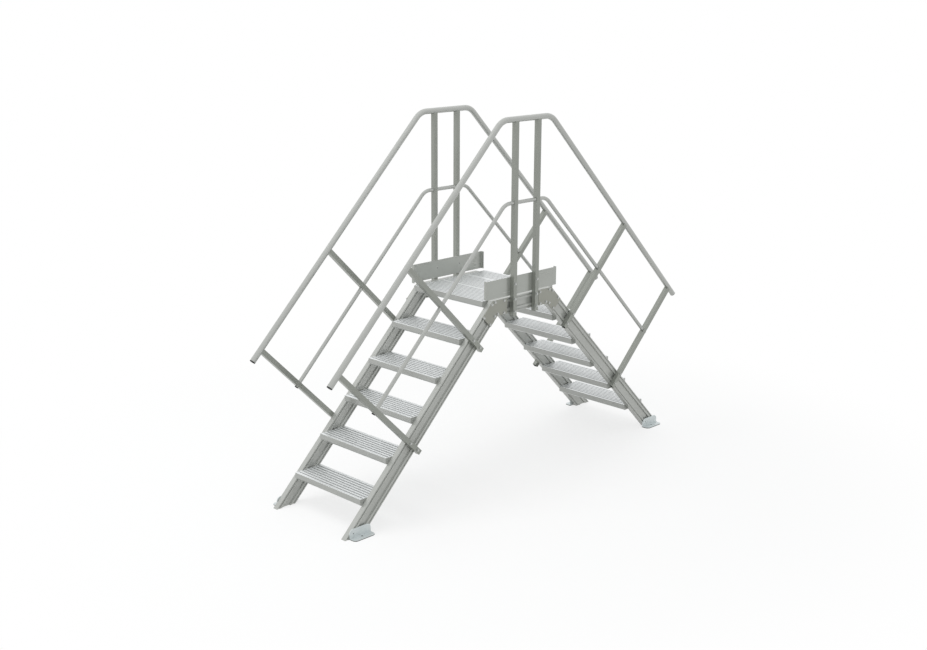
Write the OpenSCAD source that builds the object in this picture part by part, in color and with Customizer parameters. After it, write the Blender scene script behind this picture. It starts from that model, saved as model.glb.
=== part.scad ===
// Crossover platform: two ribbed-tread flights, a level deck between them and a
// handrail with a knee rail on each side. X is the way that people walk, -Y is the
// near side and the floor is Z = 0.

/* [Stair] */
// Height from one tread to the next
riser = 200; // [150:250]
// Distance from one nosing to the next
going = 200; // [160:280]
// Depth of a tread, nosing to rear edge
tread_depth = 200; // [150:280]
// Clear width between the stringers
clear_width = 600; // [500:1000]
// Height of the lip of a tread or a deck plank
lip_height = 40; // [30:60]
// Wall of a tread or a deck plank
tread_wall = 4; // [3:6]
// Bottom corner radius of the lips
lip_radius = 10; // [6:14]
// Turned-in width of the lips
lip_return = 24; // [15:40]
// Plate that closes the end of a tread
end_plate = 4; // [3:8]

/* [Ribs] */
// Distance between the grooves of a walking surface
groove_pitch = 25; // [12:30]
// Groove width
groove_width = 8; // [4:10]
// Groove depth
groove_depth = 2; // [1:3]
// Plain edge before the first groove
plain_edge = 13; // [8:30]

/* [Deck] */
// Length of the deck, nosing to nosing
deck_length = 647; // [500:1200]
// Depth of the left plank
left_plank = 234; // [150:300]
// Depth of the middle plank
middle_plank = 227; // [150:300]
// Gap between planks
plank_gap = 3; // [1:6]

/* [Profile] */
// Depth of the stringer and beam profile
profile_depth = 100; // [80:160]
// Width of the profile
profile_width = 35; // [30:60]
// Wall of the profile
profile_wall = 3; // [2:6]
// Depth of the recess along both sides
recess_depth = 9; // [3:10]
// Width of the flat of the recess
recess_flat = 40; // [10:44]
// Width of each slope of the recess
recess_slope = 1; // [1:12]
// Width of a fixing slot
slot_width = 8; // [6:10]
// Depth of a fixing slot
slot_depth = 5; // [3:10]
// Middle of a slot from the edge of the profile
slot_inset = 11; // [9:16]
// Nosing line to the front of the stringer, square to the slope
nosing_overhang = 37; // [20:60]

/* [Handrail] */
// Handrail axis above the deck
rail_height = 1089; // [1000:1200]
// Handrail axis from the nosing line, square to the slope
rail_offset = 697; // [600:900]
// Handrail diameter
rail_diameter = 36; // [28:45]
// Knee rail axis above the deck
knee_height = 587; // [450:650]
// Knee rail axis from the nosing line, square to the slope
knee_offset = 317; // [250:450]
// Knee rail diameter
knee_diameter = 24; // [16:28]
// Tube wall
tube_wall = 2; // [1.5:3]
// Bend radius of the handrail axis
rail_bend = 120; // [70:160]
// Bend radius of the knee rail axis
knee_bend = 100; // [60:140]
// Handrail end beyond the lower post
rail_end = 83; // [30:150]
// Knee rail end beyond the lower post
knee_end = 20; // [16:60]
// Thickness of an end cap
cap_thickness = 3; // [2:6]
// Length of the plug of an end cap
plug_length = 16; // [8:30]

/* [Posts] */
// Width of a square post
post_size = 30; // [25:40]
// Wall of a post
post_wall = 2; // [1.5:4]
// Post below the profile that it is bolted to
post_tail = 20; // [5:40]
// Middle of the deck to a platform post
platform_post = 100; // [60:160]
// Deck nosing to the upper flight post, down the slope
upper_post = 244; // [150:400]
// Deck nosing to the lower flight post, down the slope
lower_post = 981; // [700:1100]
// Play of the knee rail in a post
knee_play = 0.1; // [0.05:0.5]

/* [Toe boards] */
// Length of a toe board
toe_length = 640; // [400:1200]
// Height of a toe board
toe_height = 116; // [100:150]
// Gap under a toe board
toe_gap = 10; // [5:12]
// Sheet thickness of a toe board
toe_sheet = 3; // [2:5]
// Turned-in ends of a toe board
toe_return = 25; // [15:35]
// Outer radius of the folds of a toe board
toe_fold = 6; // [4:12]

/* [Knee plates] */
// Thickness of a knee plate
plate_thickness = 6; // [4:10]
// Plate leg from the corner, along the middle of the profile
plate_leg = 105; // [80:120]
// Edge left free beside a knee plate
plate_inset = 1; // [0:4]

/* [Foot brackets] */
// Thickness of a foot bracket
bracket_thickness = 6; // [4:10]
// Length of the foot flange
flange_length = 160; // [120:200]
// Width of the foot flange
flange_width = 54; // [40:80]
// Corner radius of the foot flange
flange_radius = 24; // [10:30]
// Length of the upright
upright_length = 160; // [100:180]
// Height of the upright
upright_height = 60; // [50:100]
// Corner radius of the upright
upright_radius = 30; // [10:50]
// Diameter of the anchor hole
anchor_hole = 12; // [9:16]
// Anchor hole from the stringer
anchor_offset = 21; // [15:35]
// Left brackets from the middle of the stringer's foot, towards the deck
left_shift = 40; // [0:60]
// The same for the right brackets
right_shift = 26; // [0:60]

/* [Hidden] */
$fn = 64;
eps = 1;
treads = 5;
deck_height = riser * (treads + 1);
deck_half = deck_length / 2;
slope = atan2(riser, going);
inner = clear_width / 2;
outer = inner + profile_width;
rail_y = outer + post_size / 2;
stringer_front = -deck_half + nosing_overhang / sin(slope);
stringer_rear = -deck_half + (nosing_overhang + profile_depth) / sin(slope);
miter_rear = stringer_rear - profile_depth / tan(slope);
foot_run = deck_height / tan(slope);
foot_middle = (stringer_front + stringer_rear) / 2 - foot_run;
right_plank = deck_length - left_plank - middle_plank - 2 * plank_gap;
rail_r = rail_diameter / 2;
knee_r = knee_diameter / 2;

// Where the axis of a bent rail turns from level to the slope, from the middle.
function bend_x(height, offset) =
    deck_half + offset * sin(slope) - (height - offset * cos(slope)) / tan(slope);

// Length of the sloping axis of a bent rail, from its bend to a point down the slope.
function slope_run(height, offset, down) = down + (height - offset * cos(slope)) / sin(slope);

// Drawn for the left flight on the near side, then carried to the others.
module place(right = false, far = false) {
    mirror([right ? 1 : 0, 0, 0]) mirror([0, far ? 1 : 0, 0]) children();
}

// Axes of the left flight: X up the slope, Z square to it, origin at the deck nosing.
module on_slope() {
    translate([-deck_half, 0, deck_height]) rotate([0, -slope, 0]) children();
}

// Outline in X and Z, given its thickness along Y outwards from y.
module side_sheet(y, thickness) {
    translate([0, -y, 0]) rotate([90, 0, 0]) linear_extrude(thickness) children();
}

// Section of the profile, X across its width and Y along its depth.
module profile_section() {
    w = profile_width / 2;
    d = profile_depth / 2;
    flat = recess_flat / 2;
    land = flat + recess_slope;
    slot = d - slot_inset;
    difference() {
        square([profile_width, profile_depth], center = true);
        for (s = [-1, 1]) {
            polygon([[s * w, -land], [s * (w - recess_depth), -flat], [s * (w - recess_depth), flat],
                [s * w, land], [s * (w + eps), land], [s * (w + eps), -land]]);
            for (e = [-1, 1])
                translate([s * (w - slot_depth / 2 + eps / 2), e * slot])
                    square([slot_depth + eps, slot_width], center = true);
        }
        square([profile_width - 2 * (recess_depth + profile_wall), 2 * land - 2 * profile_wall],
            center = true);
    }
}

module stringer() {
    reach = (foot_run + profile_depth) / cos(slope);
    color([0.72, 0.73, 0.72])
    intersection() {
        on_slope()
            translate([0, -inner - profile_width / 2, -nosing_overhang - profile_depth / 2])
                rotate([90, 0, 90]) linear_extrude(2 * reach, center = true) profile_section();
        side_sheet(inner - eps, profile_width + 2 * eps)
            polygon([[stringer_front - foot_run, 0], [stringer_rear - foot_run, 0],
                [miter_rear, deck_height - profile_depth], [stringer_front, deck_height]]);
    }
}

module side_beam() {
    color([0.72, 0.73, 0.72])
    intersection() {
        translate([0, -inner - profile_width / 2, deck_height - profile_depth / 2])
            rotate([90, 0, 90]) linear_extrude(2 * deck_length, center = true) profile_section();
        side_sheet(inner - eps, profile_width + 2 * eps)
            polygon([[stringer_front, deck_height], [miter_rear, deck_height - profile_depth],
                [-miter_rear, deck_height - profile_depth], [-stringer_front, deck_height]]);
    }
}

// Flat angled plate over the miter of a stringer and a side beam.
module knee_plate() {
    top = deck_height - plate_inset;
    low = deck_height - profile_depth + plate_inset;
    corner_x = (stringer_front + miter_rear) / 2;
    corner_z = deck_height - profile_depth / 2;
    lean = tan(slope / 2) * plate_inset;
    half = profile_depth / 2 - plate_inset;
    end_x = corner_x - plate_leg * cos(slope);
    end_z = corner_z - plate_leg * sin(slope);
    color([0.72, 0.73, 0.72])
    side_sheet(outer, plate_thickness)
        polygon([[stringer_front + lean, top], [corner_x + plate_leg, top],
            [corner_x + plate_leg, low], [miter_rear - lean, low],
            [end_x + half * sin(slope), end_z - half * cos(slope)],
            [end_x - half * sin(slope), end_z + half * cos(slope)]]);
}

// Outline of a walking surface, nosing at X = 0 and top at Y = 0.
module plank_outline(depth, height, radius) {
    translate([0, -height + radius]) square([depth, height - radius]);
    translate([radius, -height]) square([depth - 2 * radius, 2 * radius]);
    for (x = [radius, depth - radius]) translate([x, -height + radius]) circle(radius);
}

module plank_section(depth) {
    grooves = floor((depth - 2 * plain_edge - groove_width) / groove_pitch);
    first = (depth - grooves * groove_pitch) / 2;
    difference() {
        plank_outline(depth, lip_height, lip_radius);
        translate([tread_wall, -tread_wall - groove_depth])
            plank_outline(depth - 2 * tread_wall, lip_height - 2 * tread_wall - groove_depth,
                lip_radius - tread_wall);
        translate([lip_return, -lip_height - eps])
            square([depth - 2 * lip_return, 2 * tread_wall]);
        for (i = [0:grooves])
            translate([first + i * groove_pitch - groove_width / 2, -groove_depth])
                square([groove_width, groove_depth + eps]);
    }
}

// Ribbed plank between the stringers or the side beams, with closed ends.
module plank(depth) {
    rotate([90, 0, 0]) {
        linear_extrude(clear_width - 2 * end_plate, center = true) plank_section(depth);
        for (s = [-1, 1]) translate([0, 0, s * (inner - end_plate / 2)])
            linear_extrude(end_plate, center = true) plank_outline(depth, lip_height, lip_radius);
    }
}

module tread(number) {
    down = treads + 1 - number;
    color([0.82, 0.84, 0.84])
    translate([-deck_half - down * going, 0, deck_height - down * riser]) plank(tread_depth);
}

module deck_plank(x, depth) {
    color([0.82, 0.84, 0.84]) translate([x, 0, deck_height]) plank(depth);
}

// Outline of a toe board from above, with its ends turned in.
module toe_plan(inset, depth) {
    middle = toe_length / 2 - toe_fold;
    translate([-middle, -outer + inset]) square([2 * middle, depth - inset]);
    translate([-toe_length / 2 + inset, -outer + toe_fold])
        square([toe_length - 2 * inset, depth - toe_fold]);
    for (s = [-1, 1]) translate([s * middle, -outer + toe_fold]) circle(toe_fold - inset);
}

// Sheet standing inside the platform posts.
module toe_board() {
    color([0.74, 0.75, 0.74])
    translate([0, 0, deck_height + toe_gap]) linear_extrude(toe_height) difference() {
        toe_plan(0, toe_return);
        toe_plan(toe_sheet, toe_return + eps);
    }
}

// Solid rod that follows a bent rail, longer at both ends by more.
module rail_rod(height, offset, bend, down, radius, more) {
    turn = bend_x(height, offset);
    tangent = bend * tan(slope / 2);
    run = slope_run(height, offset, down) - tangent;
    for (m = [0, 1]) mirror([m, 0, 0])
        translate([-turn + tangent, -rail_y, deck_height + height]) {
            rotate([0, 90, 0]) cylinder(h = turn - tangent + eps, r = radius);
            translate([0, 0, -bend]) rotate([90, 0, 0]) rotate([0, 0, 90])
                rotate_extrude(angle = slope) translate([bend, 0]) circle(radius);
            translate([0, 0, -bend]) rotate([0, -slope, 0]) translate([0, 0, bend])
                rotate([0, -90, 0]) cylinder(h = run + more, r = radius);
        }
}

module bent_rail(height, offset, bend, down, radius) {
    color([0.76, 0.77, 0.76])
    difference() {
        rail_rod(height, offset, bend, down, radius, 0);
        rail_rod(height, offset, bend, down, radius - tube_wall, eps);
    }
}

module rail_cap(offset, down, radius) {
    color([0.08, 0.08, 0.08])
    on_slope() translate([-down, -rail_y, offset]) rotate([0, -90, 0]) {
        cylinder(h = cap_thickness, r = radius);
        translate([0, 0, -plug_length]) cylinder(h = plug_length, r = radius - tube_wall);
    }
}

module four_caps(offset, down, radius) {
    for (right = [false, true]) for (far = [false, true])
        place(right, far) rail_cap(offset, down, radius);
}

// Square tube along Z with its axis at the origin, from low to high.
module post_tube(low, high) {
    translate([0, 0, low]) linear_extrude(high - low) difference() {
        square(post_size, center = true);
        square(post_size - 2 * post_wall, center = true);
    }
}

module platform_posts() {
    low = deck_height - profile_depth - post_tail;
    color([0.72, 0.73, 0.72])
    difference() {
        for (s = [-1, 1]) translate([s * platform_post, -rail_y, 0])
            post_tube(low, deck_height + rail_height);
        translate([0, -rail_y, deck_height + rail_height]) rotate([0, 90, 0])
            cylinder(h = deck_length, r = rail_r, center = true);
        translate([0, -rail_y, deck_height + knee_height]) rotate([0, 90, 0])
            cylinder(h = deck_length, r = knee_r + knee_play, center = true);
    }
}

module flight_posts() {
    low = -nosing_overhang - profile_depth - post_tail;
    color([0.72, 0.73, 0.72])
    on_slope() difference() {
        for (down = [upper_post, lower_post]) translate([-down, -rail_y, 0])
            post_tube(low, rail_offset);
        translate([-lower_post, -rail_y, rail_offset]) rotate([0, 90, 0])
            cylinder(h = 2 * lower_post, r = rail_r, center = true);
        translate([-lower_post, -rail_y, knee_offset]) rotate([0, 90, 0])
            cylinder(h = 2 * lower_post, r = knee_r + knee_play, center = true);
    }
}

// Angle bracket on the outside of a stringer's foot, its middle at x.
module foot_bracket(x) {
    half = flange_length / 2;
    r = flange_radius;
    top = upright_length / 2 - upright_radius;
    color([0.70, 0.73, 0.74])
    translate([x, 0, 0]) {
        difference() {
            linear_extrude(bracket_thickness) {
                translate([-half, -outer - flange_width + r])
                    square([flange_length, flange_width - r]);
                translate([-half + r, -outer - flange_width])
                    square([flange_length - 2 * r, flange_width]);
                for (s = [-1, 1]) translate([s * (half - r), -outer - flange_width + r]) circle(r);
            }
            translate([0, -outer - anchor_offset, -eps])
                cylinder(h = bracket_thickness + 2 * eps, r = anchor_hole / 2);
        }
        side_sheet(outer, bracket_thickness) {
            translate([-upright_length / 2, 0])
                square([upright_length, upright_height - upright_radius]);
            translate([-top, 0]) square([2 * top, upright_height]);
            for (s = [-1, 1]) translate([s * top, upright_height - upright_radius])
                circle(upright_radius);
        }
    }
}

place() stringer();  // left_stringer_near
place(far = true) stringer();  // left_stringer_far
place(right = true) stringer();  // right_stringer_near
place(true, true) stringer();  // right_stringer_far
place() side_beam();  // side_beam_near
place(far = true) side_beam();  // side_beam_far
place() knee_plate();  // left_knee_plate_near
place(far = true) knee_plate();  // left_knee_plate_far
place(right = true) knee_plate();  // right_knee_plate_near
place(true, true) knee_plate();  // right_knee_plate_far
tread(1);  // left_tread_1
tread(2);  // left_tread_2
tread(3);  // left_tread_3
tread(4);  // left_tread_4
tread(5);  // left_tread_5
place(right = true) tread(1);  // right_tread_1
place(right = true) tread(2);  // right_tread_2
place(right = true) tread(3);  // right_tread_3
place(right = true) tread(4);  // right_tread_4
place(right = true) tread(5);  // right_tread_5
deck_plank(-deck_half, left_plank);  // left_deck_plank
deck_plank(-deck_half + left_plank + plank_gap, middle_plank);  // middle_deck_plank
deck_plank(deck_half - right_plank, right_plank);  // right_deck_plank
place() toe_board();  // toe_board_near
place(far = true) toe_board();  // toe_board_far
bent_rail(rail_height, rail_offset, rail_bend, lower_post + rail_end, rail_r);  // handrail_near
place(far = true) bent_rail(rail_height, rail_offset, rail_bend, lower_post + rail_end, rail_r);  // handrail_far
bent_rail(knee_height, knee_offset, knee_bend, lower_post + knee_end, knee_r);  // knee_rail_near
place(far = true) bent_rail(knee_height, knee_offset, knee_bend, lower_post + knee_end, knee_r);  // knee_rail_far
four_caps(rail_offset, lower_post + rail_end, rail_r);  // handrail_caps
four_caps(knee_offset, lower_post + knee_end, knee_r);  // knee_rail_caps
place() platform_posts();  // platform_posts_near
place(far = true) platform_posts();  // platform_posts_far
place() flight_posts();  // left_posts_near
place(far = true) flight_posts();  // left_posts_far
place(right = true) flight_posts();  // right_posts_near
place(true, true) flight_posts();  // right_posts_far
place() foot_bracket(foot_middle + left_shift);  // left_foot_near
place(far = true) foot_bracket(foot_middle + left_shift);  // left_foot_far
place(right = true) foot_bracket(foot_middle + right_shift);  // right_foot_near
place(true, true) foot_bracket(foot_middle + right_shift);  // right_foot_far
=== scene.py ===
# Crossover platform in aluminium: two flights of ribbed treads, a level deck,
# and a handrail with a knee rail on each side. Metres, +Z up, floor at Z = 0.
import bpy
import bmesh
import math
from mathutils import Matrix, Quaternion, Vector


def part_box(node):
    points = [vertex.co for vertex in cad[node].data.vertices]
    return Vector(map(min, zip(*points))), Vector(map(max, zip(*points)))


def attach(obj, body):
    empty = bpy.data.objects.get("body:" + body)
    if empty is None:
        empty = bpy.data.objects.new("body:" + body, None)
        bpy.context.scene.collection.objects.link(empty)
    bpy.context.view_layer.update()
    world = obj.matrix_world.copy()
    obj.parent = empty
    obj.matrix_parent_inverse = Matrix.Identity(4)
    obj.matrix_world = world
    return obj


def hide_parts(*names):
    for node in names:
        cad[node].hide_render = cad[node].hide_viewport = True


for startup in ("Cube", "Light", "Camera"):
    if startup in bpy.data.objects:
        bpy.data.objects.remove(bpy.data.objects[startup], do_unlink=True)

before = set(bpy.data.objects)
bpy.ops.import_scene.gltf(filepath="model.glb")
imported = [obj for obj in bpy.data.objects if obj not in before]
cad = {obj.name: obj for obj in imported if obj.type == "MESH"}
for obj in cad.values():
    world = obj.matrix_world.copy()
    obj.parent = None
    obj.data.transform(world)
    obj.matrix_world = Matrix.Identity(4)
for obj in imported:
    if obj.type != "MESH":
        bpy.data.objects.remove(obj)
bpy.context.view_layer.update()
scene = bpy.context.scene
scene.view_settings.view_transform = "Standard"
print("frame loaded:", len(cad), "pieces")

shot = {
    "place": (-5.8356, -5.6090, 3.1051),
    "azimuth": -45.221,
    "downward": 15.015,
    "roll": 0.239,
    "lens": 50.395,
}


def makeCamera(shot):
    lens = bpy.data.cameras.new("camera")
    lens.lens = shot["lens"]
    lens.sensor_width = 36
    camera = bpy.data.objects.new("camera", lens)
    turn, down = math.radians(shot["azimuth"]), math.radians(shot["downward"])
    ahead = Vector((-math.sin(turn) * math.cos(down), math.cos(turn) * math.cos(down), -math.sin(down)))
    camera.rotation_mode = "QUATERNION"
    roll = Quaternion((0, 0, 1), math.radians(shot["roll"]))
    camera.rotation_quaternion = ahead.to_track_quat("-Z", "Y") @ roll
    camera.location = shot["place"]
    scene.collection.objects.link(camera)
    scene.camera = camera
    return camera


makeCamera(shot)
print("camera placed")


def addNode(tree, kind, **settings):
    node = tree.nodes.new(kind)
    for key, value in settings.items():
        setattr(node, key, value)
    return node


def setInputs(node, **values):
    for key, value in values.items():
        node.inputs[key.replace("_", " ")].default_value = value
    return node


def joinMath(tree, operation, *values, clamp=False):
    node = addNode(tree, "ShaderNodeMath", operation=operation, use_clamp=clamp)
    for i, value in enumerate(values):
        if isinstance(value, (int, float)):
            node.inputs[i].default_value = value
        else:
            tree.links.new(value, node.inputs[i])
    return node.outputs["Value"]


def newGroup(name, inputs, outputs):
    group = bpy.data.node_groups.new(name, "ShaderNodeTree")
    for label, kind, start in inputs:
        socket = group.interface.new_socket(name=label, in_out="INPUT", socket_type=kind)
        if start is not None:
            socket.default_value = start
    for label, kind in outputs:
        group.interface.new_socket(name=label, in_out="OUTPUT", socket_type=kind)
    return group, addNode(group, "NodeGroupInput"), addNode(group, "NodeGroupOutput")


def makeDrawnGrain():
    # fine lines that the extrusion die or the brush leaves along X of its own vector
    group, given, out = newGroup(
        "drawnGrain",
        [("Vector", "NodeSocketVector", None), ("Along", "NodeSocketFloat", 3.0),
         ("Across", "NodeSocketFloat", 900.0), ("Amount", "NodeSocketFloat", 1.0)],
        [("Lines", "NodeSocketFloat"), ("Height", "NodeSocketFloat")],
    )
    size = addNode(group, "ShaderNodeCombineXYZ")
    group.links.new(given.outputs["Along"], size.inputs["X"])
    group.links.new(given.outputs["Across"], size.inputs["Y"])
    group.links.new(given.outputs["Across"], size.inputs["Z"])
    stretch = addNode(group, "ShaderNodeVectorMath", operation="MULTIPLY")
    group.links.new(given.outputs["Vector"], stretch.inputs[0])
    group.links.new(size.outputs["Vector"], stretch.inputs[1])
    lines = addNode(group, "ShaderNodeTexNoise")
    setInputs(lines, Scale=1.0, Detail=3.0, Roughness=0.6)
    group.links.new(stretch.outputs["Vector"], lines.inputs["Vector"])
    centred = addNode(group, "ShaderNodeMath", operation="SUBTRACT")
    centred.inputs[1].default_value = 0.5
    group.links.new(lines.outputs["Fac"], centred.inputs[0])
    scaled = addNode(group, "ShaderNodeMath", operation="MULTIPLY")
    group.links.new(centred.outputs["Value"], scaled.inputs[0])
    group.links.new(given.outputs["Amount"], scaled.inputs[1])
    group.links.new(scaled.outputs["Value"], out.inputs["Lines"])
    group.links.new(lines.outputs["Fac"], out.inputs["Height"])
    return group


def makeHandlingMarks():
    # broad cloudy tone with small scuffs, for metal that was carried and stacked
    group, given, out = newGroup(
        "handlingMarks",
        [("Vector", "NodeSocketVector", None), ("Cloud Size", "NodeSocketFloat", 4.0),
         ("Scuff Size", "NodeSocketFloat", 60.0), ("Amount", "NodeSocketFloat", 1.0)],
        [("Cloud", "NodeSocketFloat"), ("Scuffs", "NodeSocketFloat")],
    )
    cloud = setInputs(addNode(group, "ShaderNodeTexNoise"), Detail=2.0, Roughness=0.5)
    group.links.new(given.outputs["Vector"], cloud.inputs["Vector"])
    group.links.new(given.outputs["Cloud Size"], cloud.inputs["Scale"])
    centred = addNode(group, "ShaderNodeMath", operation="SUBTRACT")
    centred.inputs[1].default_value = 0.5
    group.links.new(cloud.outputs["Fac"], centred.inputs[0])
    scaled = addNode(group, "ShaderNodeMath", operation="MULTIPLY")
    group.links.new(centred.outputs["Value"], scaled.inputs[0])
    group.links.new(given.outputs["Amount"], scaled.inputs[1])
    scuff = setInputs(addNode(group, "ShaderNodeTexNoise"), Detail=5.0, Roughness=0.65)
    group.links.new(given.outputs["Vector"], scuff.inputs["Vector"])
    group.links.new(given.outputs["Scuff Size"], scuff.inputs["Scale"])
    few = addNode(group, "ShaderNodeMapRange", clamp=True)
    setInputs(few, From_Min=0.62, From_Max=0.72, To_Min=0.0, To_Max=1.0)
    group.links.new(scuff.outputs["Fac"], few.inputs["Value"])
    kept = addNode(group, "ShaderNodeMath", operation="MULTIPLY")
    group.links.new(few.outputs["Result"], kept.inputs[0])
    group.links.new(given.outputs["Amount"], kept.inputs[1])
    group.links.new(scaled.outputs["Value"], out.inputs["Cloud"])
    group.links.new(kept.outputs["Value"], out.inputs["Scuffs"])
    return group


drawnGrain = makeDrawnGrain()
handlingMarks = makeHandlingMarks()
print("shared effects ready")

finishes = {
    "profile": {"tone": (0.545, 0.555, 0.53), "dark": (0.505, 0.515, 0.49), "metal": 0.32, "rough": 0.30,
                "grain": 0.04, "across": 300.0, "cloud": 0.05},
    "post": {"tone": (0.35, 0.365, 0.333), "dark": (0.32, 0.334, 0.304), "metal": 0.50, "rough": 0.28,
             "grain": 0.04, "across": 300.0, "cloud": 0.05},
    "tread": {"tone": (0.90, 0.92, 0.925), "dark": (0.85, 0.87, 0.875), "metal": 0.45, "rough": 0.40,
              "grain": 0.06, "across": 200.0, "cloud": 0.05},
    # a darker copy of the tread finish for the treads' upright lips and end plates: painted shade on their
    # sides
    "lip": {"tone": (0.50, 0.51, 0.49), "dark": (0.46, 0.47, 0.45), "metal": 0.45, "rough": 0.30,
            "grain": 0.04, "across": 300.0, "cloud": 0.05},
    # a darker copy of the tread finish for the groove floors and walls: painted shade in the grooves
    "groove": {"tone": (0.36, 0.37, 0.37), "dark": (0.30, 0.31, 0.31), "metal": 0.40, "rough": 0.50,
               "grain": 0.08, "across": 200.0, "cloud": 0.05},
    "sheet": {"tone": (0.50, 0.515, 0.485), "dark": (0.46, 0.475, 0.445), "metal": 0.34, "rough": 0.26,
              "grain": 0.04, "across": 200.0, "cloud": 0.04},
    "plate": {"tone": (0.385, 0.39, 0.345), "dark": (0.35, 0.354, 0.31), "metal": 0.40, "rough": 0.32,
              "grain": 0.05, "across": 200.0, "cloud": 0.06},
    "tube": {"tone": (0.50, 0.51, 0.49), "dark": (0.47, 0.48, 0.46), "metal": 0.55, "rough": 0.24,
             "grain": 0.01, "across": 200.0, "cloud": 0.02},
}


def makeAluminium(name, finish, turn=(0, 0, 0)):
    # turn carries the object's axes onto the metal's own, so that grain runs along it
    material = bpy.data.materials.new(name)
    material.use_nodes = True
    tree = material.node_tree
    shader = tree.nodes["Principled BSDF"]
    setInputs(shader, Metallic=finish["metal"])
    place = addNode(tree, "ShaderNodeTexCoord")
    along = addNode(tree, "ShaderNodeMapping")
    along.inputs["Rotation"].default_value = [math.radians(a) for a in turn]
    tree.links.new(place.outputs["Object"], along.inputs["Vector"])
    grain = addNode(tree, "ShaderNodeGroup", node_tree=drawnGrain)
    setInputs(grain, Along=2.0, Across=finish["across"], Amount=finish["grain"])
    tree.links.new(along.outputs["Vector"], grain.inputs["Vector"])
    marks = addNode(tree, "ShaderNodeGroup", node_tree=handlingMarks)
    setInputs(marks, Cloud_Size=5.0, Scuff_Size=45.0, Amount=1.0)
    tree.links.new(place.outputs["Object"], marks.inputs["Vector"])

    mix = addNode(tree, "ShaderNodeMix", data_type="RGBA")
    mix.inputs["A"].default_value = (*finish["tone"], 1)
    mix.inputs["B"].default_value = (*finish["dark"], 1)
    tone = addNode(tree, "ShaderNodeMath", operation="MULTIPLY_ADD")
    tone.inputs[1].default_value = 1.6
    tone.inputs[2].default_value = 0.35
    tree.links.new(marks.outputs["Cloud"], tone.inputs[0])
    tree.links.new(tone.outputs["Value"], mix.inputs["Factor"])
    tree.links.new(mix.outputs["Result"], shader.inputs["Base Color"])

    rough = addNode(tree, "ShaderNodeMath", operation="ADD")
    rough.inputs[1].default_value = finish["rough"]
    tree.links.new(grain.outputs["Lines"], rough.inputs[0])
    cloudy = addNode(tree, "ShaderNodeMath", operation="MULTIPLY_ADD")
    cloudy.inputs[1].default_value = finish["cloud"] * 2
    tree.links.new(marks.outputs["Cloud"], cloudy.inputs[0])
    tree.links.new(rough.outputs["Value"], cloudy.inputs[2])
    tree.links.new(cloudy.outputs["Value"], shader.inputs["Roughness"])

    return material


# the last two values bound the painted shade that darkens the bottom rim of the flange
galvanised = {"tone": (0.67, 0.715, 0.72), "pale": (0.73, 0.775, 0.78), "metal": 0.55,
              "crystals": 260.0, "rimShadeLow": 0.0044, "rimShadeHigh": 0.0058}


def makeGalvanised(name):
    # zinc coat with its angular crystals, a little darker in patches, with painted shade along the bottom
    # rim
    material = bpy.data.materials.new(name)
    material.use_nodes = True
    tree = material.node_tree
    shader = tree.nodes["Principled BSDF"]
    setInputs(shader, Metallic=galvanised["metal"])
    place = addNode(tree, "ShaderNodeTexCoord")
    crystals = addNode(tree, "ShaderNodeTexVoronoi")
    setInputs(crystals, Scale=galvanised["crystals"], Randomness=1.0)
    tree.links.new(place.outputs["Object"], crystals.inputs["Vector"])
    marks = addNode(tree, "ShaderNodeGroup", node_tree=handlingMarks)
    setInputs(marks, Cloud_Size=14.0, Scuff_Size=90.0, Amount=1.0)
    tree.links.new(place.outputs["Object"], marks.inputs["Vector"])
    split = addNode(tree, "ShaderNodeSeparateColor")
    tree.links.new(crystals.outputs["Color"], split.inputs["Color"])
    mix = addNode(tree, "ShaderNodeMix", data_type="RGBA")
    mix.inputs["A"].default_value = (*galvanised["tone"], 1)
    mix.inputs["B"].default_value = (*galvanised["pale"], 1)
    tree.links.new(split.outputs["Red"], mix.inputs["Factor"])
    height = addNode(tree, "ShaderNodeSeparateXYZ")
    tree.links.new(place.outputs["Object"], height.inputs["Vector"])
    low = addNode(tree, "ShaderNodeMapRange", interpolation_type="SMOOTHSTEP")
    # painted shade: the flange's bottom rim, below about 6 mm, is darkened where the floor's contact shadow
    # falls
    setInputs(low, From_Min=galvanised["rimShadeLow"], From_Max=galvanised["rimShadeHigh"], To_Min=1.0, To_Max=0.0)
    tree.links.new(height.outputs["Z"], low.inputs["Value"])
    # the dark colour of the painted shade on the rim
    rimShade = addNode(tree, "ShaderNodeMix", data_type="RGBA")
    rimShade.inputs["B"].default_value = (0.16, 0.17, 0.165, 1)
    tree.links.new(low.outputs["Result"], rimShade.inputs["Factor"])
    tree.links.new(mix.outputs["Result"], rimShade.inputs["A"])
    tree.links.new(rimShade.outputs["Result"], shader.inputs["Base Color"])
    rough = addNode(tree, "ShaderNodeMapRange")
    setInputs(rough, To_Min=0.42, To_Max=0.50)
    tree.links.new(split.outputs["Green"], rough.inputs["Value"])
    cloudy = addNode(tree, "ShaderNodeMath", operation="MULTIPLY_ADD")
    cloudy.inputs[1].default_value = 0.15
    tree.links.new(marks.outputs["Cloud"], cloudy.inputs[0])
    tree.links.new(rough.outputs["Result"], cloudy.inputs[2])
    tree.links.new(cloudy.outputs["Value"], shader.inputs["Roughness"])
    bump = addNode(tree, "ShaderNodeBump")
    setInputs(bump, Strength=0.08, Distance=0.0003)
    tree.links.new(crystals.outputs["Distance"], bump.inputs["Height"])
    tree.links.new(bump.outputs["Normal"], shader.inputs["Normal"])
    return material


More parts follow.
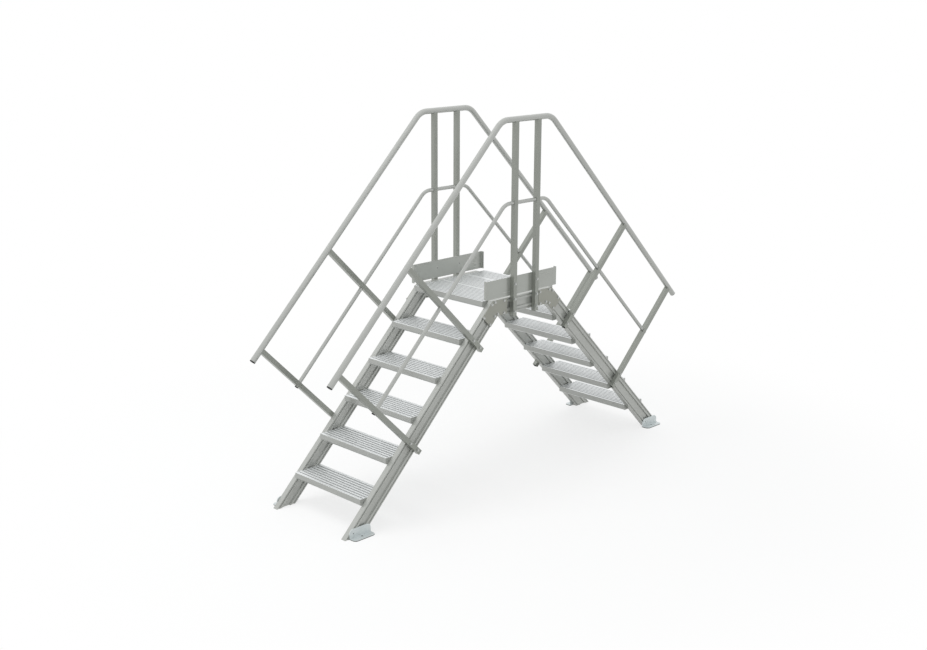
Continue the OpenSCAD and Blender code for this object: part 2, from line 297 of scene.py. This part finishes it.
def makeBoltZinc(name, tone, dark):
    material = bpy.data.materials.new(name)
    material.use_nodes = True
    tree = material.node_tree
    shader = tree.nodes["Principled BSDF"]
    setInputs(shader, Metallic=1.0)
    place = addNode(tree, "ShaderNodeTexCoord")
    marks = addNode(tree, "ShaderNodeGroup", node_tree=handlingMarks)
    setInputs(marks, Cloud_Size=60.0, Scuff_Size=400.0, Amount=1.0)
    tree.links.new(place.outputs["Object"], marks.inputs["Vector"])
    mix = addNode(tree, "ShaderNodeMix", data_type="RGBA")
    mix.inputs["A"].default_value = (*tone, 1)
    mix.inputs["B"].default_value = (*dark, 1)
    tree.links.new(marks.outputs["Scuffs"], mix.inputs["Factor"])
    tree.links.new(mix.outputs["Result"], shader.inputs["Base Color"])
    rough = addNode(tree, "ShaderNodeMath", operation="MULTIPLY_ADD")
    rough.inputs[1].default_value = 0.2
    rough.inputs[2].default_value = 0.24
    tree.links.new(marks.outputs["Cloud"], rough.inputs[0])
    tree.links.new(rough.outputs["Value"], shader.inputs["Roughness"])
    return material


def makeCapPlastic(name):
    material = bpy.data.materials.new(name)
    material.use_nodes = True
    tree = material.node_tree
    shader = tree.nodes["Principled BSDF"]
    shader.inputs["Specular IOR Level"].default_value = 0.25
    place = addNode(tree, "ShaderNodeTexCoord")
    fine = setInputs(addNode(tree, "ShaderNodeTexNoise"), Scale=900.0, Detail=2.0)
    tree.links.new(place.outputs["Object"], fine.inputs["Vector"])
    mix = addNode(tree, "ShaderNodeMix", data_type="RGBA")
    mix.inputs["A"].default_value = (0.006, 0.007, 0.006, 1)
    mix.inputs["B"].default_value = (0.010, 0.012, 0.010, 1)
    tree.links.new(fine.outputs["Fac"], mix.inputs["Factor"])
    tree.links.new(mix.outputs["Result"], shader.inputs["Base Color"])
    rough = addNode(tree, "ShaderNodeMapRange")
    setInputs(rough, To_Min=0.50, To_Max=0.60)
    tree.links.new(fine.outputs["Fac"], rough.inputs["Value"])
    tree.links.new(rough.outputs["Result"], shader.inputs["Roughness"])
    bump = addNode(tree, "ShaderNodeBump")
    setInputs(bump, Strength=0.2, Distance=0.0003)
    tree.links.new(fine.outputs["Fac"], bump.inputs["Height"])
    tree.links.new(bump.outputs["Normal"], shader.inputs["Normal"])
    return material


metal = {
    "profileLevel": makeAluminium("profileLevel", finishes["profile"]),
    "profileLeft": makeAluminium("profileLeft", finishes["profile"], (0, 45, 0)),
    "profileRight": makeAluminium("profileRight", finishes["profile"], (0, -45, 0)),
    "tread": makeAluminium("treadExtrusion", finishes["tread"], (0, 0, -90)),
    # a darker copy of the tread finish: painted shade in the grooves
    "groove": makeAluminium("treadGrooveShade", finishes["groove"], (0, 0, -90)),
    # a darker copy of the tread finish: painted shade on the upright lips and end plates
    "lip": makeAluminium("treadLipShade", finishes["lip"], (0, 0, -90)),
    "sheet": makeAluminium("toeBoardSheet", finishes["sheet"]),
    "plate": makeAluminium("kneePlateMetal", finishes["plate"]),
    "tubeLevel": makeAluminium("railTube", finishes["tube"]),
    "postUpright": makeAluminium("postUpright", finishes["post"], (0, 90, 0)),
    "postLeft": makeAluminium("postLeft", finishes["post"], (0, -45, 0)),
    "postRight": makeAluminium("postRight", finishes["post"], (0, 45, 0)),
    "galvanised": makeGalvanised("galvanisedBracket"),
    "boltZinc": makeBoltZinc("boltZinc", (0.48, 0.49, 0.48), (0.38, 0.39, 0.38)),
    "screwSteel": makeBoltZinc("screwSteel", (0.28, 0.30, 0.30), (0.20, 0.21, 0.21)),
    "capPlastic": makeCapPlastic("capPlastic"),
}
print("finishes ready:", len(metal))


def keepPiece(name, mesh, finish):
    piece = bpy.data.objects.new(name, mesh)
    scene.collection.objects.link(piece)
    mesh.materials.append(finish)
    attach(piece, "root")
    return piece


def markTread(form):
    # groove floors and walls take the second finish, a darker tone that paints shade into the grooves; lips
    # and end plates take the third, a darker tone that paints shade onto the tread's upright faces
    top = max(v.co.z for v in form.verts)
    left, right = min(v.co.x for v in form.verts), max(v.co.x for v in form.verts)
    for face in form.faces:
        middle = face.calc_center_median()
        inside = left + 0.005 < middle.x < right - 0.005
        if inside and top - 0.0023 < middle.z < top - 0.0004 and abs(face.normal.y) < 0.5:
            face.material_index = 1
        elif abs(face.normal.z) < 0.5:
            face.material_index = 2


def dressNode(name, finish, slotName, edge, smooth=30):
    # a merged copy of the piece with its edges broken, standing for the node
    form = bmesh.new()
    form.from_mesh(cad[name].data)
    bmesh.ops.remove_doubles(form, verts=form.verts, dist=1e-6)
    bmesh.ops.dissolve_limit(
        form, angle_limit=math.radians(0.6), verts=form.verts, edges=form.edges, delimit={"NORMAL"}
    )
    sharp = [e for e in form.edges if e.is_manifold and e.calc_face_angle(0) > math.radians(35)]
    if edge and sharp:
        bmesh.ops.bevel(
            form, geom=sharp, offset=edge, offset_type="OFFSET", affect="EDGES", segments=1,
            profile=0.5, material=-1, clamp_overlap=True,
        )
    if slotName == "tread_aluminium":
        markTread(form)
    for face in form.faces:
        face.smooth = True
    mesh = bpy.data.meshes.new(name + "_dressed")
    form.to_mesh(mesh)
    form.free()
    if "custom_normal" in mesh.attributes:
        mesh.attributes.remove(mesh.attributes["custom_normal"])
    mesh.set_sharp_from_angle(angle=math.radians(smooth))
    piece = keepPiece(name + "_dressed", mesh, finish)
    # the second and third finishes are darker copies of the tread finish: painted shade in the grooves and
    # on the upright faces
    if slotName == "tread_aluminium":
        mesh.materials.append(metal["groove"])
        mesh.materials.append(metal["lip"])
    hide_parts(name)
    return piece


pieceFinish = {}
for side, turned, post in (("left", "profileLeft", "postLeft"), ("right", "profileRight", "postRight")):
    for row in ("near", "far"):
        pieceFinish[f"{side}_stringer_{row}"] = (turned, "profile_aluminium", 0.0006)
        pieceFinish[f"{side}_knee_plate_{row}"] = ("plate", "plate_aluminium", 0.0008)
        pieceFinish[f"{side}_posts_{row}"] = (post, "post_aluminium", 0.0008)
        pieceFinish[f"{side}_foot_{row}"] = ("galvanised", "zinc_plated_steel", 0.0010)
    for number in range(1, 6):
        pieceFinish[f"{side}_tread_{number}"] = ("tread", "tread_aluminium", 0.0004)
for row in ("near", "far"):
    pieceFinish[f"side_beam_{row}"] = ("profileLevel", "profile_aluminium", 0.0006)
    pieceFinish[f"toe_board_{row}"] = ("sheet", "sheet_aluminium", 0.0004)
    pieceFinish[f"platform_posts_{row}"] = ("postUpright", "post_aluminium", 0.0008)
    pieceFinish[f"handrail_{row}"] = ("tubeLevel", "tube_aluminium", 0)
    pieceFinish[f"knee_rail_{row}"] = ("tubeLevel", "tube_aluminium", 0)
for plank in ("left_deck_plank", "middle_deck_plank", "right_deck_plank"):
    pieceFinish[plank] = ("tread", "tread_aluminium", 0.0004)
pieceFinish["handrail_caps"] = ("capPlastic", "black_plastic", 0.0008)
pieceFinish["knee_rail_caps"] = ("capPlastic", "black_plastic", 0.0008)

dressed = {}
for name, (finish, slotName, edge) in pieceFinish.items():
    dressed[name] = dressNode(name, metal[finish], slotName, edge)
print("dressed pieces:", len(dressed), "missing:", sorted(set(cad) - set(dressed)))

bolt = {"flange": 0.0090, "flangeThick": 0.0016, "flats": 0.0130, "high": 0.0068, "edge": 0.0007}


def makeBoltMaster():
    # hexagon head on a round flange, standing on Z = 0 and pointing to +Z
    form = bmesh.new()
    ring = bmesh.ops.create_circle(form, cap_ends=True, cap_tris=False, segments=24, radius=bolt["flange"])
    up = bmesh.ops.extrude_face_region(form, geom=[ring["verts"][0].link_faces[0]])
    rim = [g for g in up["geom"] if isinstance(g, bmesh.types.BMFace)][0]
    bmesh.ops.translate(form, verts=rim.verts, vec=(0, 0, bolt["flangeThick"]))
    bmesh.ops.inset_individual(form, faces=[rim], thickness=0.0008, depth=0.0004)
    six = bmesh.ops.create_circle(
        form, cap_ends=True, cap_tris=False, segments=6, radius=bolt["flats"] / math.sqrt(3),
        matrix=Matrix.Translation((0, 0, bolt["flangeThick"])),
    )
    up = bmesh.ops.extrude_face_region(form, geom=[six["verts"][0].link_faces[0]])
    top = [g for g in up["geom"] if isinstance(g, bmesh.types.BMFace)][0]
    bmesh.ops.translate(form, verts=top.verts, vec=(0, 0, bolt["high"] - bolt["flangeThick"]))
    bmesh.ops.bevel(
        form, geom=list(top.edges), offset=bolt["edge"], offset_type="OFFSET", affect="EDGES",
        segments=1, profile=0.5, material=-1,
    )
    bmesh.ops.recalc_face_normals(form, faces=form.faces)
    mesh = bpy.data.meshes.new("boltMaster")
    form.to_mesh(mesh)
    form.free()
    return mesh


screw = {"radius": 0.0036, "rim": 0.0006, "dome": 0.0008, "shoulder": 0.0013}


def makeScrewMaster():
    # low round head
    form = bmesh.new()
    ring = bmesh.ops.create_circle(form, cap_ends=True, cap_tris=False, segments=16, radius=screw["radius"])
    up = bmesh.ops.extrude_face_region(form, geom=[ring["verts"][0].link_faces[0]])
    top = [g for g in up["geom"] if isinstance(g, bmesh.types.BMFace)][0]
    bmesh.ops.translate(form, verts=top.verts, vec=(0, 0, screw["rim"]))
    bmesh.ops.inset_individual(form, faces=[top], thickness=screw["shoulder"], depth=screw["dome"])
    bmesh.ops.recalc_face_normals(form, faces=form.faces)
    mesh = bpy.data.meshes.new("screwMaster")
    form.to_mesh(mesh)
    form.free()
    return mesh


def gather(name, master, places, finish, smooth=35):
    # copies of one small master at many places, as one piece
    form = bmesh.new()
    for spot, facing, spin in places:
        count = len(form.verts)
        form.from_mesh(master)
        form.verts.ensure_lookup_table()
        turn = Vector(facing).to_track_quat("Z", "Y") @ Quaternion((0, 0, 1), math.radians(spin))
        bmesh.ops.transform(
            form, matrix=Matrix.Translation(spot) @ turn.to_matrix().to_4x4(), verts=form.verts[count:]
        )
    for face in form.faces:
        face.smooth = True
    mesh = bpy.data.meshes.new(name)
    form.to_mesh(mesh)
    form.free()
    mesh.set_sharp_from_angle(angle=math.radians(smooth))
    return keepPiece(name, mesh, finish)


boltMaster = makeBoltMaster()
screwMaster = makeScrewMaster()

# heads in millimetres: X and Z on the outer face of the knee plates
kneeHeads = {
    "left": [(-173, 1189), (-254, 1190), (-280, 1179), (-174, 1112), (-230, 1113), (-257, 1104),
             (-350, 1108), (-297, 1058)],
    "right": [(158, 1187), (247, 1190), (279, 1177), (161, 1112), (215, 1114), (247, 1102),
              (334, 1120), (287, 1061)],
}
plateFace = -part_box("left_knee_plate_near")[0].y
for side in ("left", "right"):
    for row, sign in (("near", -1), ("far", 1)):
        places = [
            (Vector((x / 1000, sign * plateFace, z / 1000)), (0, sign, 0), 17 * i)
            for i, (x, z) in enumerate(kneeHeads[side])
        ]
        gather(f"{side}_knee_bolts_{row}", boltMaster, places, metal["boltZinc"])

postFace = -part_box("platform_posts_near")[0].y
for row, sign in (("near", -1), ("far", 1)):
    places = []
    for x in (-0.1, 0.1):
        for i, z in enumerate((1.284, 1.189, 1.111)):
            places.append((Vector((x, sign * postFace, z)), (0, sign, 0), 25 * i + 100 * x))
    gather(f"platform_post_bolts_{row}", boltMaster, places, metal["boltZinc"])

# flight posts stand square to the slope; two bolts each, over the slots of the stringer
flight = {"nosing": (-0.3235, 1.2), "down": (0.244, 0.981), "under": (0.048, 0.126)}
for side, way in (("left", 1), ("right", -1)):
    for row, sign in (("near", -1), ("far", 1)):
        places = []
        for down in flight["down"]:
            for i, under in enumerate(flight["under"]):
                x = flight["nosing"][0] - (down - under) / math.sqrt(2)
                z = flight["nosing"][1] - (down + under) / math.sqrt(2)
                places.append((Vector((way * x, sign * postFace, z)), (0, sign, 0), 45 + 20 * i))
        gather(f"{side}_post_bolts_{row}", boltMaster, places, metal["boltZinc"])
print("bolts placed")

# millimetres; toe boards and brackets by X and Z, tread ends behind the nose and below the top
small = {
    "toeSheet": 3, "bracketSteel": 6,
    "toeBoard": [(-92, 1274), (110, 1274)],
    "bracket": {"left": [(-1413, 31)], "right": [(1327, 36)]},
    "treadEnd": (24, 21),
}
toeFace = -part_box("toe_board_near")[0].y - small["toeSheet"] / 1000
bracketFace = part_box("left_stringer_far")[1].y + small["bracketSteel"] / 1000
for row, sign in (("near", -1), ("far", 1)):
    places = [(Vector((x / 1000, sign * toeFace, z / 1000)), (0, -sign, 0), 0) for x, z in small["toeBoard"]]
    gather(f"toe_board_screws_{row}", screwMaster, places, metal["screwSteel"])
    for side in ("left", "right"):
        places = [
            (Vector((x / 1000, sign * bracketFace, z / 1000)), (0, sign, 0), 0)
            for x, z in small["bracket"][side]
        ]
        gather(f"{side}_foot_screws_{row}", screwMaster, places, metal["screwSteel"])
for side, way in (("left", 1), ("right", -1)):
    places = []
    for number in range(1, 6):
        low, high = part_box(f"{side}_tread_{number}")
        nose = low.x if side == "left" else high.x
        for sign in (-1, 1):
            x = nose + way * small["treadEnd"][0] / 1000
            z = high.z - small["treadEnd"][1] / 1000
            places.append((Vector((x, sign * high.y, z)), (0, sign, 0), 0))
    gather(f"{side}_tread_screws", screwMaster, places, metal["screwSteel"])
print("small screws placed")

# floorBounce and skySoft light the object; floor and sky are white where they are seen
studio = {
    "nearGlow": 0.72, "farGlow": 1.0, "glowFrom": 1.6, "glowTo": 3.4,
    "floorBounce": (0.55, 0.55, 0.53),
    "skySoft": 0.66, "skyTone": (0.98, 1.0, 1.0),
    "mainPower": 200, "mainPlace": (-1.8, 1.2, 7.0), "mainSize": 4.5,
}


def joinRays(tree):
    ray = addNode(tree, "ShaderNodeLightPath")
    both = joinMath(tree, "ADD", ray.outputs["Is Camera Ray"], ray.outputs["Is Glossy Ray"])
    return joinMath(tree, "ADD", both, ray.outputs["Is Transmission Ray"], clamp=True)


def makeFloor(studio):
    form = bmesh.new()
    bmesh.ops.create_grid(form, x_segments=1, y_segments=1, size=60)
    mesh = bpy.data.meshes.new("studioFloor")
    form.to_mesh(mesh)
    form.free()
    floor = bpy.data.objects.new("studioFloor", mesh)
    scene.collection.objects.link(floor)
    floor.location.z = -0.0002
    material = bpy.data.materials.new("studioFloor")
    material.use_nodes = True
    tree = material.node_tree
    shader = tree.nodes["Principled BSDF"]
    setInputs(shader, Roughness=0.9)
    shader.inputs["Specular IOR Level"].default_value = 0.0
    # the camera, reflections and anything seen through glass all meet the same white floor
    seen = joinRays(tree)
    paint = addNode(tree, "ShaderNodeMix", data_type="RGBA")
    paint.inputs["A"].default_value = (*studio["floorBounce"], 1)
    paint.inputs["B"].default_value = (1, 1, 1, 1)
    tree.links.new(seen, paint.inputs["Factor"])
    tree.links.new(paint.outputs["Result"], shader.inputs["Base Color"])

    place = addNode(tree, "ShaderNodeTexCoord")
    far = addNode(tree, "ShaderNodeVectorMath", operation="LENGTH")
    tree.links.new(place.outputs["Object"], far.inputs[0])
    edge = addNode(tree, "ShaderNodeMapRange", interpolation_type="SMOOTHSTEP")
    setInputs(edge, From_Min=studio["glowFrom"], From_Max=studio["glowTo"],
              To_Min=studio["nearGlow"], To_Max=studio["farGlow"])
    tree.links.new(far.outputs["Value"], edge.inputs["Value"])
    glow = addNode(tree, "ShaderNodeEmission")
    glow.inputs["Strength"].default_value = 1.0
    factor = joinMath(tree, "MULTIPLY", seen, edge.outputs["Result"])
    mixed = addNode(tree, "ShaderNodeMixShader")
    tree.links.new(factor, mixed.inputs["Fac"])
    tree.links.new(shader.outputs["BSDF"], mixed.inputs[1])
    tree.links.new(glow.outputs["Emission"], mixed.inputs[2])
    tree.links.new(mixed.outputs["Shader"], tree.nodes["Material Output"].inputs["Surface"])
    mesh.materials.append(material)
    return floor


def makeSky(studio):
    world = bpy.data.worlds.new("studioSky")
    scene.world = world
    world.use_nodes = True
    tree = world.node_tree
    tree.nodes.clear()
    soft = addNode(tree, "ShaderNodeBackground")
    setInputs(soft, Color=(*studio["skyTone"], 1), Strength=studio["skySoft"])
    white = addNode(tree, "ShaderNodeBackground")
    setInputs(white, Color=(1, 1, 1, 1), Strength=1.0)
    mixed = addNode(tree, "ShaderNodeMixShader")
    tree.links.new(joinRays(tree), mixed.inputs["Fac"])
    tree.links.new(soft.outputs["Background"], mixed.inputs[1])
    tree.links.new(white.outputs["Background"], mixed.inputs[2])
    out = addNode(tree, "ShaderNodeOutputWorld")
    tree.links.new(mixed.outputs["Shader"], out.inputs["Surface"])


def makeLamp(name, place, size, power, aim=(0, 0, 0.6)):
    lamp = bpy.data.lights.new(name, "AREA")
    lamp.shape = "SQUARE"
    lamp.size = size
    lamp.energy = power
    holder = bpy.data.objects.new(name, lamp)
    holder.location = place
    holder.rotation_euler = (Vector(aim) - Vector(place)).to_track_quat("-Z", "Y").to_euler()
    holder.visible_glossy = False
    scene.collection.objects.link(holder)
    return holder


makeFloor(studio)
makeSky(studio)
makeLamp("mainSoftbox", studio["mainPlace"], studio["mainSize"], studio["mainPower"])
print("studio ready")
